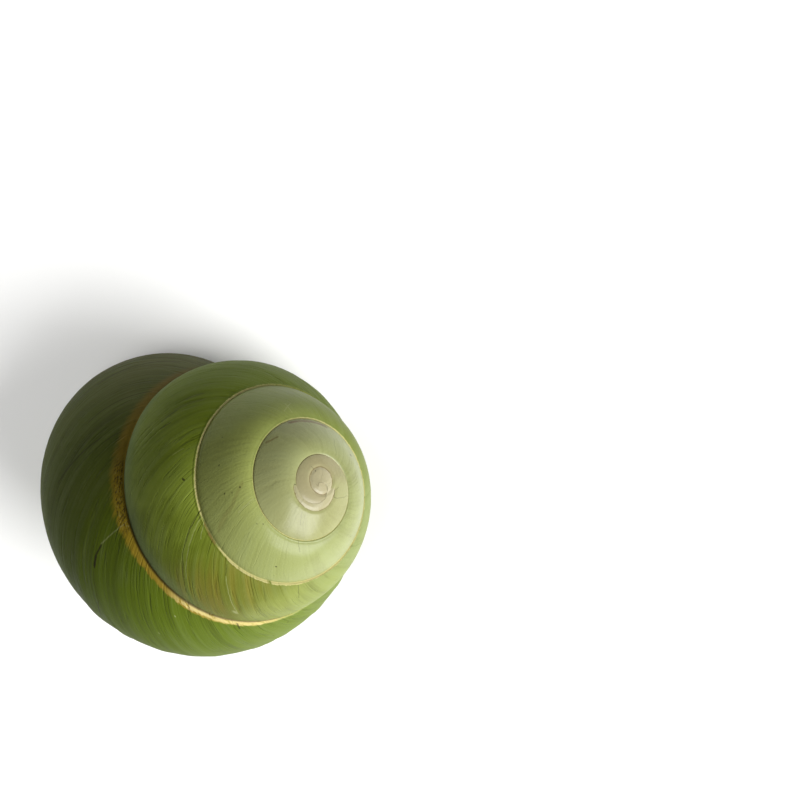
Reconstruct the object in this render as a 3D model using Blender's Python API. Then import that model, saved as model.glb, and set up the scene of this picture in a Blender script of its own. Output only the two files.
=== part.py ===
"""Apple snail shell, empty, coiled to the right, lying on its mouth.

The shell is one solid. Its skin follows one growth law. The suture is a spiral round the coiling axis, and at
each turn of growth an arched profile runs from the suture to the place where the next turn will cover it. The
last turn goes on round the base and up into the umbilicus, the narrow hole beside the pillar. Inside, one hollow
follows the same law from the mouth to the first whorls.

Growth is counted in turns from the apex. Across a whorl, t runs from 0 at the suture to 1 at the seam with the
next whorl, to 2 at the rim of the umbilicus, and to 3 at the rim that the turn before left above it.
"""

import math

import bmesh
import bpy
import numpy as np
from mathutils import Matrix, Vector

NAME = "shell"
COLLECTION = "apple_snail_shell"
MM = 0.001

# Growth law of the suture, in turns and metres, with the apex at the origin and the axis down Z
TURNS = 4.25
SPREAD_FIRST = 2.04 * MM
SPREAD_SECOND = 1.70 * MM
SPREAD_THIRD = -0.2475 * MM
SPIRE_DROP = 0.491 * MM
SPIRE_POWER = 2.667
LATE_DROP = 3.03 * MM
LATE_FROM = 3.2
APEX_TURN = 0.09
FREE_FROM = 4.10
FREE_TUCK = 7.57 * MM
FREE_SINK = 7.29 * MM

# Arch of a whorl: how far its ends turn away from the straight line between the two sutures
ARCH_TOP = 0.584
ARCH_TOP_FULL = 2.2
ARCH_FOOT = 1.016
ARCH_FOOT_GROWTH = 0.5125
ARCH_FOOT_TURN = 4.0
ARCH_FOOT_LEAST = 0.25
ARCH_FOOT_MOST = 1.3
ARCH_TOP_FREE = 0.16
ARCH_FOOT_FREE = 0.1965

# Base and umbilicus
BASE_START = 0.30
BASE_END = 0.35
BASE_END_OUT = 0.20
BASE_RISE = 0.08
BASE_RISE_FREE = 2.5 * MM
UMBILICUS_PER_TURN = 0.45 * MM

# Growth lines lean back from the suture, by this part of a turn at the seam and at the umbilicus
LEAN_SEAM_STEPS = 6
LEAN_RIM = 0.20

# Walls
LIP_WALL = 0.8 * MM
CALLUS = 0.35 * MM
PILLAR_WALL = 0.9 * MM
CORNER_FILL = 2.2
CORNER_REACH = 0.35
EARLY_WALL = 0.45
WALL_FULL_TURN = 3.6

# Facets
STEPS_PER_TURN = 40
HOLLOW_STEP = 2
HOLLOW_TURNS = 3.1
WALL_ROWS = 7
BASE_ROWS = 6
PIT_ROWS = 4
WELD = 0.02 * MM

# Rest pose: the shell turned about its coiling axis, then tipped over so that it lies on its lip and base
REST_SPIN = math.radians(143.3)
REST_TIP = math.radians(38.4)

# Looks
SHELL_COLOUR = (0.17, 0.24, 0.05, 1.0)
SHELL_ROUGHNESS = 0.45
SHARP_EDGE = math.radians(50)

STEP = 1.0 / STEPS_PER_TURN
LEAN_SEAM = LEAN_SEAM_STEPS * STEP
FIRST_GROWTH = LEAN_SEAM - 1.0


def free_turns(turn):
    """Turns past the point where no later whorl hides the seam."""
    return max(turn - FREE_FROM, 0.0)


def spiral(turn):
    """Radius and height of the suture before the seam is free."""
    n = turn if turn > APEX_TURN else 0.0
    radius = SPREAD_FIRST * n + SPREAD_SECOND * n**2 + SPREAD_THIRD * n**3
    drop = SPIRE_DROP * n**SPIRE_POWER + LATE_DROP * max(n - LATE_FROM, 0.0) ** 2
    return np.array((radius, -drop))


def suture(turn):
    """Radius and height of the suture, and of the free seam that continues it."""
    free = free_turns(turn)
    if free == 0.0:
        return spiral(turn)
    slope = (
        SPREAD_FIRST + 2 * SPREAD_SECOND * FREE_FROM + 3 * SPREAD_THIRD * FREE_FROM**2,
        -SPIRE_DROP * SPIRE_POWER * FREE_FROM ** (SPIRE_POWER - 1) - 2 * LATE_DROP * (FREE_FROM - LATE_FROM),
    )
    bend = np.array((FREE_TUCK, FREE_SINK)) * free**2
    return spiral(FREE_FROM) + np.array(slope) * free - bend


def rim(turn):
    """Radius and height of the umbilicus rim below a whorl."""
    seam = suture(turn + 1)
    rise = BASE_RISE * seam[0] + BASE_RISE_FREE * free_turns(turn + 1) ** 2
    return np.array((UMBILICUS_PER_TURN * max(turn + 1, 0.0), seam[1] + rise))


def bezier(ends, handles, t):
    """Point of a cubic curve."""
    s = 1 - t
    return s**3 * ends[0] + 3 * s * s * t * handles[0] + 3 * s * t * t * handles[1] + t**3 * ends[1]


def turned(direction, angle):
    """A direction in the radius and height plane, turned outwards by an angle."""
    c, s = math.cos(angle), math.sin(angle)
    return np.array((direction[0] * c - direction[1] * s, direction[1] * c + direction[0] * s))


def arch(turn):
    """Ends and handles of the curve from the suture to the seam, and the direction in which it ends."""
    top, foot = suture(turn), suture(turn + 1)
    chord = foot - top
    length = float(np.hypot(*chord)) or 1e-9
    along = chord / length
    free = free_turns(turn + 1) ** 2
    angle_top = ARCH_TOP * min((turn + 1) / ARCH_TOP_FULL, 1.0) + ARCH_TOP_FREE * free
    angle_foot = ARCH_FOOT + ARCH_FOOT_GROWTH * (turn - ARCH_FOOT_TURN) + ARCH_FOOT_FREE * free
    angle_foot = min(max(angle_foot, ARCH_FOOT_LEAST), ARCH_FOOT_MOST)
    handle = length / 3 / math.cos((angle_top + angle_foot) / 4) ** 2
    leaving = turned(along, angle_top)
    arriving = turned(along, -angle_foot)
    return (top, foot), (top + handle * leaving, foot - handle * arriving), arriving


def profile(turn, t):
    """Radius and height of the skin at one turn, for t from 0 to 3."""
    if t <= 1.0:
        ends, handles, _ = arch(turn)
        return bezier(ends, handles, t)
    low = rim(turn)
    if t <= 2.0:
        (_, seam), _, arriving = arch(turn)
        size = seam[0]
        inner = low + size * np.array((BASE_END_OUT, -BASE_END))
        return bezier((seam, low), (seam + BASE_START * size * arriving, inner), t - 1.0)
    return low + (rim(turn - 1) - low) * (t - 2.0)


def lip_turn(growth, t):
    """Turn at which a growth line crosses t: it leans back from the suture."""
    if t <= 1.0:
        return growth - LEAN_SEAM * t
    return growth - LEAN_SEAM - (LEAN_RIM - LEAN_SEAM) * min(t - 1.0, 1.0)


def covered_turn(growth, t):
    """Turn at which the whorl's inner edge crosses t of the turn before, from the seam at 1 to the rim at 2."""
    return growth - 1.0 - LEAN_RIM * (t - 1.0)


def place(turn, at):
    """Point in space of a radius and height at one turn of the coil."""
    angle = -2 * math.pi * turn
    return Vector((at[0] * math.cos(angle), at[0] * math.sin(angle), at[1]))


def skin(turn, t):
    """Point of the skin at one turn and t."""
    return place(turn, profile(turn, t))


def spaced(first, last, count):
    """Evenly spaced values, both ends included."""
    return [first + (last - first) * i / count for i in range(count + 1)]


def grid(bm, rows):
    """Joins rows of points, each as long as the next, with faces."""
    verts = [[bm.verts.new(point) for point in row] for row in rows]
    for low, high in zip(verts, verts[1:]):
        for a, b, c, d in zip(low, low[1:], high[1:], high):
            bm.faces.new((a, d, c, b))


def fan(bm, ring, centre):
    """Closes a ring of points with triangles to a centre."""
    middle = bm.verts.new(centre)
    verts = [bm.verts.new(point) for point in ring]
    for a, b in zip(verts, verts[1:] + verts[:1]):
        bm.faces.new((middle, a, b))


def wall_rows():
    """Rows of the spire and of the last whorl's side, from the apex to the lip."""
    ts = spaced(0.0, 1.0, WALL_ROWS)
    count = round((TURNS - FIRST_GROWTH) * STEPS_PER_TURN)
    growths = spaced(FIRST_GROWTH, TURNS, count)
    apex = Vector((0.0, 0.0, 0.0))
    return [[apex] * len(ts)] + [[skin(lip_turn(g, t), t) for t in ts] for g in growths[1:]]


def base_rows():
    """Rows of the last turn's base, from the edge of the mouth on the turn before to the lip."""
    ts = spaced(1.0, 2.0, BASE_ROWS)
    rows = []
    for part in spaced(0.0, 1.0, STEPS_PER_TURN - LEAN_SEAM_STEPS):
        turns = [covered_turn(TURNS, t) * (1 - part) + lip_turn(TURNS, t) * part for t in ts]
        rows.append([skin(turn, t) for turn, t in zip(turns, ts)])
    return rows


def pit_rows():
    """Rows of the umbilicus wall, once round, from the rim up to the rim of the turn before."""
    turns = spaced(lip_turn(TURNS, 2.0) - 1.0, lip_turn(TURNS, 2.0), STEPS_PER_TURN - LEAN_SEAM_STEPS)
    return [[skin(turn, t) for t in spaced(2.0, 3.0, PIT_ROWS)] for turn in turns]


def mouth_edge(growth):
    """Closed line round the opening at one stage of growth, as (turn, t, whether the turn before carries it)."""
    line = [(lip_turn(growth, t), t, False) for t in spaced(0.0, 1.0, WALL_ROWS)[:-1]]
    line += [(lip_turn(growth, t), t, False) for t in spaced(1.0, 2.0, BASE_ROWS)[:-1]]
    line += [(lip_turn(growth, t), t, False) for t in spaced(2.0, 3.0, PIT_ROWS)[:-1]]
    line += [(covered_turn(growth, t), t, True) for t in spaced(2.0, 1.0, BASE_ROWS)[:-1]]
    return line


def wall_depth(growth, t, earlier):
    """How far the hollow's surface lies inside the edge line, in metres."""
    scale = min(EARLY_WALL + (1 - EARLY_WALL) * growth / WALL_FULL_TURN, 1.0)
    depth = PILLAR_WALL if t >= 2.0 else CALLUS if earlier else LIP_WALL
    from_corner = t - 1.0 if earlier else t
    corner = LIP_WALL * CORNER_FILL
    near = max(1.0 - from_corner / CORNER_REACH, 0.0)
    return (depth + (corner - depth) * near) * scale


def hollow_ring(growth):
    """Closed ring of points on the hollow's surface at one stage of growth."""
    edge = [(turn, profile(turn, t), t, earlier) for turn, t, earlier in mouth_edge(growth)]
    centre = sum(at for _, at, _, _ in edge) / len(edge)
    ring = []
    for turn, at, t, earlier in edge:
        inwards = (centre - at) / np.hypot(*(centre - at))
        ring.append(place(turn, at + inwards * wall_depth(growth, t, earlier)))
    return ring


def build_mesh():
    """The whole shell as one closed mesh, its axis on Z and its apex at the origin."""
    bm = bmesh.new()
    grid(bm, wall_rows())
    grid(bm, base_rows())
    pit = pit_rows()
    grid(bm, pit)
    roof = [row[-1] for row in pit] + pit[0][1:-1]
    fan(bm, roof, Vector((0.0, 0.0, sum(point.z for point in roof) / len(roof))))

    lip = [skin(turn, t) for turn, t, _ in mouth_edge(TURNS)]
    stations = round(HOLLOW_TURNS * STEPS_PER_TURN / HOLLOW_STEP)
    rings = [hollow_ring(growth) for growth in spaced(TURNS, TURNS - HOLLOW_TURNS, stations)]
    grid(bm, [ring + ring[:1] for ring in [lip] + rings])
    fan(bm, rings[-1], sum(rings[-1], Vector()) / len(rings[-1]))

    bmesh.ops.remove_doubles(bm, verts=bm.verts, dist=WELD)
    bmesh.ops.triangulate(bm, faces=bm.faces)
    bmesh.ops.recalc_face_normals(bm, faces=bm.faces)
    mesh = bpy.data.meshes.new(NAME)
    bm.to_mesh(mesh)
    bm.free()
    return mesh


def shell_material():
    """Olive green horny skin over the lime shell."""
    material = bpy.data.materials.new("green_shell")
    material.use_nodes = True
    surface = material.node_tree.nodes["Principled BSDF"]
    surface.inputs["Base Color"].default_value = SHELL_COLOUR
    surface.inputs["Roughness"].default_value = SHELL_ROUGHNESS
    surface.inputs["Metallic"].default_value = 0.0
    return material


def rest_matrix(mesh):
    """Turns the shell onto its mouth and centres it over the origin, with its lowest point at height 0."""
    turn = Matrix.Rotation(REST_TIP, 4, "Y") @ Matrix.Rotation(REST_SPIN, 4, "Z")
    points = np.array([turn @ vert.co for vert in mesh.vertices])
    low, high = points.min(axis=0), points.max(axis=0)
    shift = Vector((-(low[0] + high[0]) / 2, -(low[1] + high[1]) / 2, -low[2]))
    return Matrix.Translation(shift) @ turn


def main():
    for obj in list(bpy.data.objects):
        bpy.data.objects.remove(obj, do_unlink=True)
    collection = bpy.data.collections.new(COLLECTION)
    bpy.context.scene.collection.children.link(collection)
    mesh = build_mesh()
    mesh.materials.append(shell_material())
    mesh.shade_smooth()
    mesh.set_sharp_from_angle(angle=SHARP_EDGE)
    shell = bpy.data.objects.new(NAME, mesh)
    shell.matrix_world = rest_matrix(mesh)
    collection.objects.link(shell)


main()
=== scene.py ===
"""Looks of an empty apple snail shell, lying on its mouth on a pale floor.

The shell is grown again by Geometry Nodes from the same law as its solid, in far finer steps, with the raised
threads along its sutures, its growth ridges and a rounded lip. Every corner of the mesh carries the turn and the
place across the whorl that it grew at, and the finishes follow those.
"""

import logging
import math
from dataclasses import dataclass, field, fields
from enum import Enum
from typing import Sequence, Union

import bpy
from mathutils import Matrix, Vector


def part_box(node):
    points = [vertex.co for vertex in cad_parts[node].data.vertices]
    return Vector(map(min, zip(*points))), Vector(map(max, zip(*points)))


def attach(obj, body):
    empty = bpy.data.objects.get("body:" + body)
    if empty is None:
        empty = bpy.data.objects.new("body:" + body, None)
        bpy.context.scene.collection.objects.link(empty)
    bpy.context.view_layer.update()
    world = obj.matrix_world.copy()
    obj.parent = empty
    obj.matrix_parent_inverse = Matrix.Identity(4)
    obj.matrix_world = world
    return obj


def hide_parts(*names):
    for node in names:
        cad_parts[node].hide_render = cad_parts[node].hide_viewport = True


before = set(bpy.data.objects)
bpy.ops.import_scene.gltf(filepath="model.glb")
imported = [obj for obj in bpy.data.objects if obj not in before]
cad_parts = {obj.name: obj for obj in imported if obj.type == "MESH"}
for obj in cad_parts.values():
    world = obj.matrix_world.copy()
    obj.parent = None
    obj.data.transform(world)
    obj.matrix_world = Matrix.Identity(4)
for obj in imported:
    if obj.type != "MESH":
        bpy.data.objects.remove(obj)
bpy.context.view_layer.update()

LOG = logging.getLogger("shell")
MM = 0.001
TINY = 1e-9

Colour = tuple[float, float, float]


class Seed(Enum):
    """Offsets that keep the random patterns apart from each other."""

    RIPPLE = 3.7
    REST = 11.3
    THREAD = 23.9
    STREAK = 31.1
    STRIA = 47.7
    CLOUD = 53.3
    OCHRE = 61.9
    BAND = 71.3
    PIT = 83.1
    BLOOM = 97.7


class Place(Enum):
    """Which part of the surface a corner belongs to, added to t in the growth map."""

    OUTSIDE = 0.0
    INSIDE = 10.0


def title(name: str) -> str:
    """A field's name as the name of a socket."""
    return name.replace("_", " ")


class Num:
    """A number in a node tree that ordinary arithmetic can be done on."""

    def __init__(self, sheet: "Sheet", socket: bpy.types.NodeSocket) -> None:
        """Keeps the sheet that the number belongs to and the socket that gives it."""
        self.sheet = sheet
        self.socket = socket

    def __add__(self, other: "Value") -> "Num":
        """Sum."""
        return self.sheet.math("ADD", self, other)

    def __radd__(self, other: float) -> "Num":
        """Sum with a plain number first."""
        return self.sheet.math("ADD", other, self)

    def __sub__(self, other: "Value") -> "Num":
        """Difference."""
        return self.sheet.math("SUBTRACT", self, other)

    def __rsub__(self, other: float) -> "Num":
        """Difference from a plain number."""
        return self.sheet.math("SUBTRACT", other, self)

    def __mul__(self, other: "Value") -> "Num":
        """Product."""
        return self.sheet.math("MULTIPLY", self, other)

    def __truediv__(self, other: "Value") -> "Num":
        """Quotient."""
        return self.sheet.math("DIVIDE", self, other)

    def __pow__(self, other: "Value") -> "Num":
        """Power."""
        return self.sheet.math("POWER", self, other)

    def __neg__(self) -> "Num":
        """Negative."""
        return self.sheet.math("MULTIPLY", self, -1.0)


Value = Union[Num, float]


class Sheet:
    """A node tree being written: each call adds a node and hands back what it puts out."""

    def __init__(self, tree: bpy.types.NodeTree) -> None:
        """Opens a tree for writing.

        Args:
            tree: The tree of a material or the tree of a node group.
        """
        self.tree = tree
        self.given: dict[str, Num] = {}
        if isinstance(tree, bpy.types.GeometryNodeTree):
            self.group_kind = "GeometryNodeGroup"
        else:
            self.group_kind = "ShaderNodeGroup"

    @classmethod
    def group(cls, kind: str, name: str, inputs: dict[str, float], outputs: Sequence[str]) -> "Sheet":
        """Starts a node group that takes and gives plain numbers.

        Args:
            kind: The type of tree, for geometry or for shaders.
            name: The name of the group.
            inputs: Name and usual value of each input.
            outputs: Names of the outputs.

        Returns:
            The sheet, with its inputs by name in given.
        """
        tree = bpy.data.node_groups.new(name, kind)
        for key, value in inputs.items():
            socket = tree.interface.new_socket(name=key, in_out="INPUT", socket_type="NodeSocketFloat")
            socket.default_value = value
        for key in outputs:
            tree.interface.new_socket(name=key, in_out="OUTPUT", socket_type="NodeSocketFloat")
        sheet = cls(tree)
        sheet.read_inputs()
        return sheet

    def read_inputs(self) -> None:
        """Makes the tree's number inputs ready for use by name."""
        entry = self.tree.nodes.new("NodeGroupInput")
        self.given = {socket.name: Num(self, socket) for socket in entry.outputs if socket.name}

    def __getitem__(self, name: str) -> Num:
        """An input of the tree by its name."""
        return self.given[name]

    def node(self, kind: str, **settings: object) -> bpy.types.Node:
        """Adds a node and sets its options.

        Args:
            kind: Blender's name for the type of node.
            **settings: Options of the node by name.

        Returns:
            The new node.
        """
        made = self.tree.nodes.new(kind)
        for key, value in settings.items():
            setattr(made, key, value)
        return made

    def put(self, value: object, socket: bpy.types.NodeSocket) -> None:
        """Feeds a value, a number field or an output socket into a socket.

        Args:
            value: What is fed in.
            socket: The input that takes it.
        """
        if isinstance(value, Num):
            self.tree.links.new(value.socket, socket)
        elif isinstance(value, bpy.types.NodeSocket):
            self.tree.links.new(value, socket)
        else:
            socket.default_value = value

    def math(self, operation: str, *terms: Value) -> Num:
        """One operation on numbers.

        Args:
            operation: Blender's name for the operation.
            *terms: One or two numbers.

        Returns:
            The result.
        """
        made = self.node("ShaderNodeMath", operation=operation)
        for term, socket in zip(terms, made.inputs):
            self.put(term, socket)
        return Num(self, made.outputs[0])

    def number(self, value: float) -> Num:
        """A plain number as a field.

        Args:
            value: The number.

        Returns:
            The field.
        """
        made = self.node("ShaderNodeValue")
        made.outputs[0].default_value = value
        return Num(self, made.outputs[0])

    def least(self, first: Value, second: Value) -> Num:
        """The smaller of two numbers."""
        return self.math("MINIMUM", first, second)

    def most(self, first: Value, second: Value) -> Num:
        """The larger of two numbers."""
        return self.math("MAXIMUM", first, second)

    def held(self, value: Num, low: float = 0.0, high: float = 1.0) -> Num:
        """A number kept between two limits."""
        return self.least(self.most(value, low), high)

    def rising(self, value: Value, low: Value, high: Value) -> Num:
        """Goes smoothly from 0 at low to 1 at high.

        Args:
            value: What is looked at.
            low: Where the result leaves 0.
            high: Where it reaches 1.

        Returns:
            The mask.
        """
        made = self.node("ShaderNodeMapRange", interpolation_type="SMOOTHSTEP")
        for term, name in ((value, "Value"), (low, "From Min"), (high, "From Max")):
            self.put(term, made.inputs[name])
        return Num(self, made.outputs[0])

    def falling(self, value: Value, low: Value, high: Value) -> Num:
        """Goes smoothly from 1 at low to 0 at high."""
        return 1.0 - self.rising(value, low, high)

    def within(self, value: Value, low: float, high: float, soft: float) -> Num:
        """Is 1 between two limits, with soft ends of the given width outside them."""
        return self.rising(value, low - soft, low) * self.falling(value, high, high + soft)

    def between(self, first: Value, second: Value, share: Value) -> Num:
        """The number at that share of the way from the first to the second."""
        return (second - first) * share + first if isinstance(second, Num) else share * (second - first) + first

    def vector(self, x: Value, y: Value, z: Value) -> bpy.types.NodeSocket:
        """Three numbers as a vector.

        Args:
            x: First number.
            y: Second number.
            z: Third number.

        Returns:
            The vector.
        """
        made = self.node("ShaderNodeCombineXYZ")
        for term, socket in zip((x, y, z), made.inputs):
            self.put(term, socket)
        return made.outputs[0]

    def noise(self, x: Value, y: Value, seed: Seed, detail: float = 2.0, rough: float = 0.5) -> Num:
        """Smooth noise over two coordinates.

        Args:
            x: First coordinate, one unit to a grain.
            y: Second coordinate.
            seed: Keeps this pattern apart from others.
            detail: How many finer layers are added.
            rough: How strong the finer layers are.

        Returns:
            Noise from about 0.2 to 0.8.
        """
        made = self.node("ShaderNodeTexNoise")
        self.put(self.vector(x, y, seed.value), made.inputs["Vector"])
        made.inputs["Scale"].default_value = 1.0
        made.inputs["Detail"].default_value = detail
        made.inputs["Roughness"].default_value = rough
        return Num(self, made.outputs[0])

    def call(self, group: bpy.types.NodeTree, **values: Value) -> dict[str, Num]:
        """Uses a node group. Inputs that aren't given are taken from this tree's inputs of the same name.

        Args:
            group: The group.
            **values: Inputs by name, with underscores for spaces.

        Returns:
            The group's outputs by name.
        """
        made = self.node(self.group_kind, node_tree=group)
        known = {title(key): value for key, value in values.items()}
        for socket in made.inputs:
            if socket.name in known:
                self.put(known[socket.name], socket)
            elif socket.name in self.given:
                self.put(self.given[socket.name], socket)
        return {socket.name: Num(self, socket) for socket in made.outputs}

    def give(self, **values: object) -> None:
        """Ends the tree.

        Args:
            **values: What each output gives, by name, with underscores for spaces.
        """
        exit_node = self.tree.nodes.new("NodeGroupOutput")
        for key, value in values.items():
            self.put(value, exit_node.inputs[title(key)])


@dataclass(frozen=True)
class GrowthLaw:
    """Sizes of the law that the shell grows by, in metres, turns and radians."""

    turns: float = 4.25
    spread_first: float = 2.04 * MM
    spread_second: float = 1.70 * MM
    spread_third: float = -0.2475 * MM
    spire_drop: float = 0.491 * MM
    spire_power: float = 2.667
    late_drop: float = 3.03 * MM
    late_from: float = 3.2
    apex_turn: float = 0.09
    free_from: float = 4.10
    free_tuck: float = 7.57 * MM
    free_sink: float = 7.29 * MM
    arch_top: float = 0.584
    arch_top_full: float = 2.2
    arch_foot: float = 1.016
    arch_foot_growth: float = 0.5125
    arch_foot_turn: float = 4.0
    arch_foot_least: float = 0.25
    arch_foot_most: float = 1.3
    arch_top_free: float = 0.16
    arch_foot_free: float = 0.1965
    base_start: float = 0.30
    base_end: float = 0.35
    base_end_out: float = 0.20
    base_rise: float = 0.08
    base_rise_free: float = 2.5 * MM
    umbilicus_per_turn: float = 0.45 * MM
    lean_seam: float = 0.15
    lean_rim: float = 0.20
    line_lean: float = 0.067
    line_lean_growth: float = 0.063
    line_lean_bend: float = 0.0353
    line_lean_low: float = 1.9
    line_lean_high: float = 2.9
    lip_slope_from: float = 4.0
    lip_slope_full: float = 4.2
    arc_over_chord: float = 1.1
    lip_wall: float = 0.8 * MM
    callus: float = 0.35 * MM
    pillar_wall: float = 0.9 * MM
    corner_fill: float = 2.2
    corner_reach: float = 0.35
    early_wall: float = 0.45
    wall_full_turn: float = 3.6
    hollow_turns: float = 3.1

    def inputs(self) -> dict[str, float]:
        """The sizes as inputs of a node group."""
        return {title(item.name): getattr(self, item.name) for item in fields(self)}

    def suture(self, turn: float) -> tuple[float, float]:
        """Radius and height of the suture, as the suture group works them out.

        Args:
            turn: Turn of the place.

        Returns:
            The radius and the height.
        """
        n, end = min(max(turn, 0.0), self.free_from), self.free_from
        radius = n * self.spread_first + n**2 * self.spread_second + n**3 * self.spread_third
        drop = n**self.spire_power * self.spire_drop + max(n - self.late_from, 0.0) ** 2 * self.late_drop
        free = max(turn - end, 0.0)
        out = self.spread_first + 2 * end * self.spread_second + 3 * end**2 * self.spread_third
        slope = self.spire_drop * self.spire_power * end ** (self.spire_power - 1)
        slope += 2 * (end - self.late_from) * self.late_drop
        return radius + out * free - self.free_tuck * free**3, -(drop + slope * free + self.free_sink * free**2)

    def reach(self, turn: float, t: float) -> tuple[float, float]:
        """Millimetres along the coil and below the suture, as the reach group works them out.

        Args:
            turn: Turn of the place.
            t: Place across the whorl.

        Returns:
            The two lengths.
        """
        n = min(max(turn, 1.0), self.free_from)
        low, high = n - self.line_lean_low, n - self.line_lean_high
        lean = self.line_lean + low * self.line_lean_growth + low * high * self.line_lean_bend
        share = (turn - self.lip_slope_from) / (self.lip_slope_full - self.lip_slope_from)
        share = min(max(share, 0.0), 1.0)
        lean += (self.lean_seam - lean) * share * share * (3 - 2 * share)
        growth = max(turn + lean * min(t, 1.0), 0.0)
        area = growth**2 * self.spread_first / 2 + growth**3 * self.spread_second / 3
        area += growth**4 * self.spread_third / 4
        top, foot = self.suture(turn), self.suture(turn + 1.0)
        return area * 2 * math.pi / MM, t * math.dist(top, foot) * self.arc_over_chord / MM


@dataclass(frozen=True)
class Relief:
    """Heights and widths of what stands proud of the skin or is cut into it, in millimetres."""

    thread_height: float = 0.15
    thread_width: float = 0.22
    groove_depth: float = 0.22
    groove_width: float = 0.35
    ripple_height: float = 0.11
    ripple_length: float = 2.6
    rest_height: float = 0.10
    rest_length: float = 7.0
    band_width: float = 0.8
    band_height: float = 0.11
    apex_groove: float = 0.10
    apex_swell: float = 0.10

    def inputs(self) -> dict[str, float]:
        """The sizes as inputs of a node group."""
        return {title(item.name): getattr(self, item.name) for item in fields(self)}


APEX_RINGS: tuple[tuple[tuple[float, float, float], tuple[float, float]], ...] = (
    ((-0.48, -0.99, 2.0), (-1.0, 0.65)),
    ((0.43, -0.07, 3.5), (0.50, 0.97)),
)


@dataclass(frozen=True)
class Facets:
    """How finely the shell's surface is divided."""

    steps_per_turn: int = 240
    wall_columns: int = 46
    base_columns: int = 36
    pit_columns: int = 8
    lip_rows: int = 8
    hollow_rows: int = 84

    def inputs(self) -> dict[str, float]:
        """The counts as inputs of a node group."""
        return {title(item.name): float(getattr(self, item.name)) for item in fields(self)}


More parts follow.
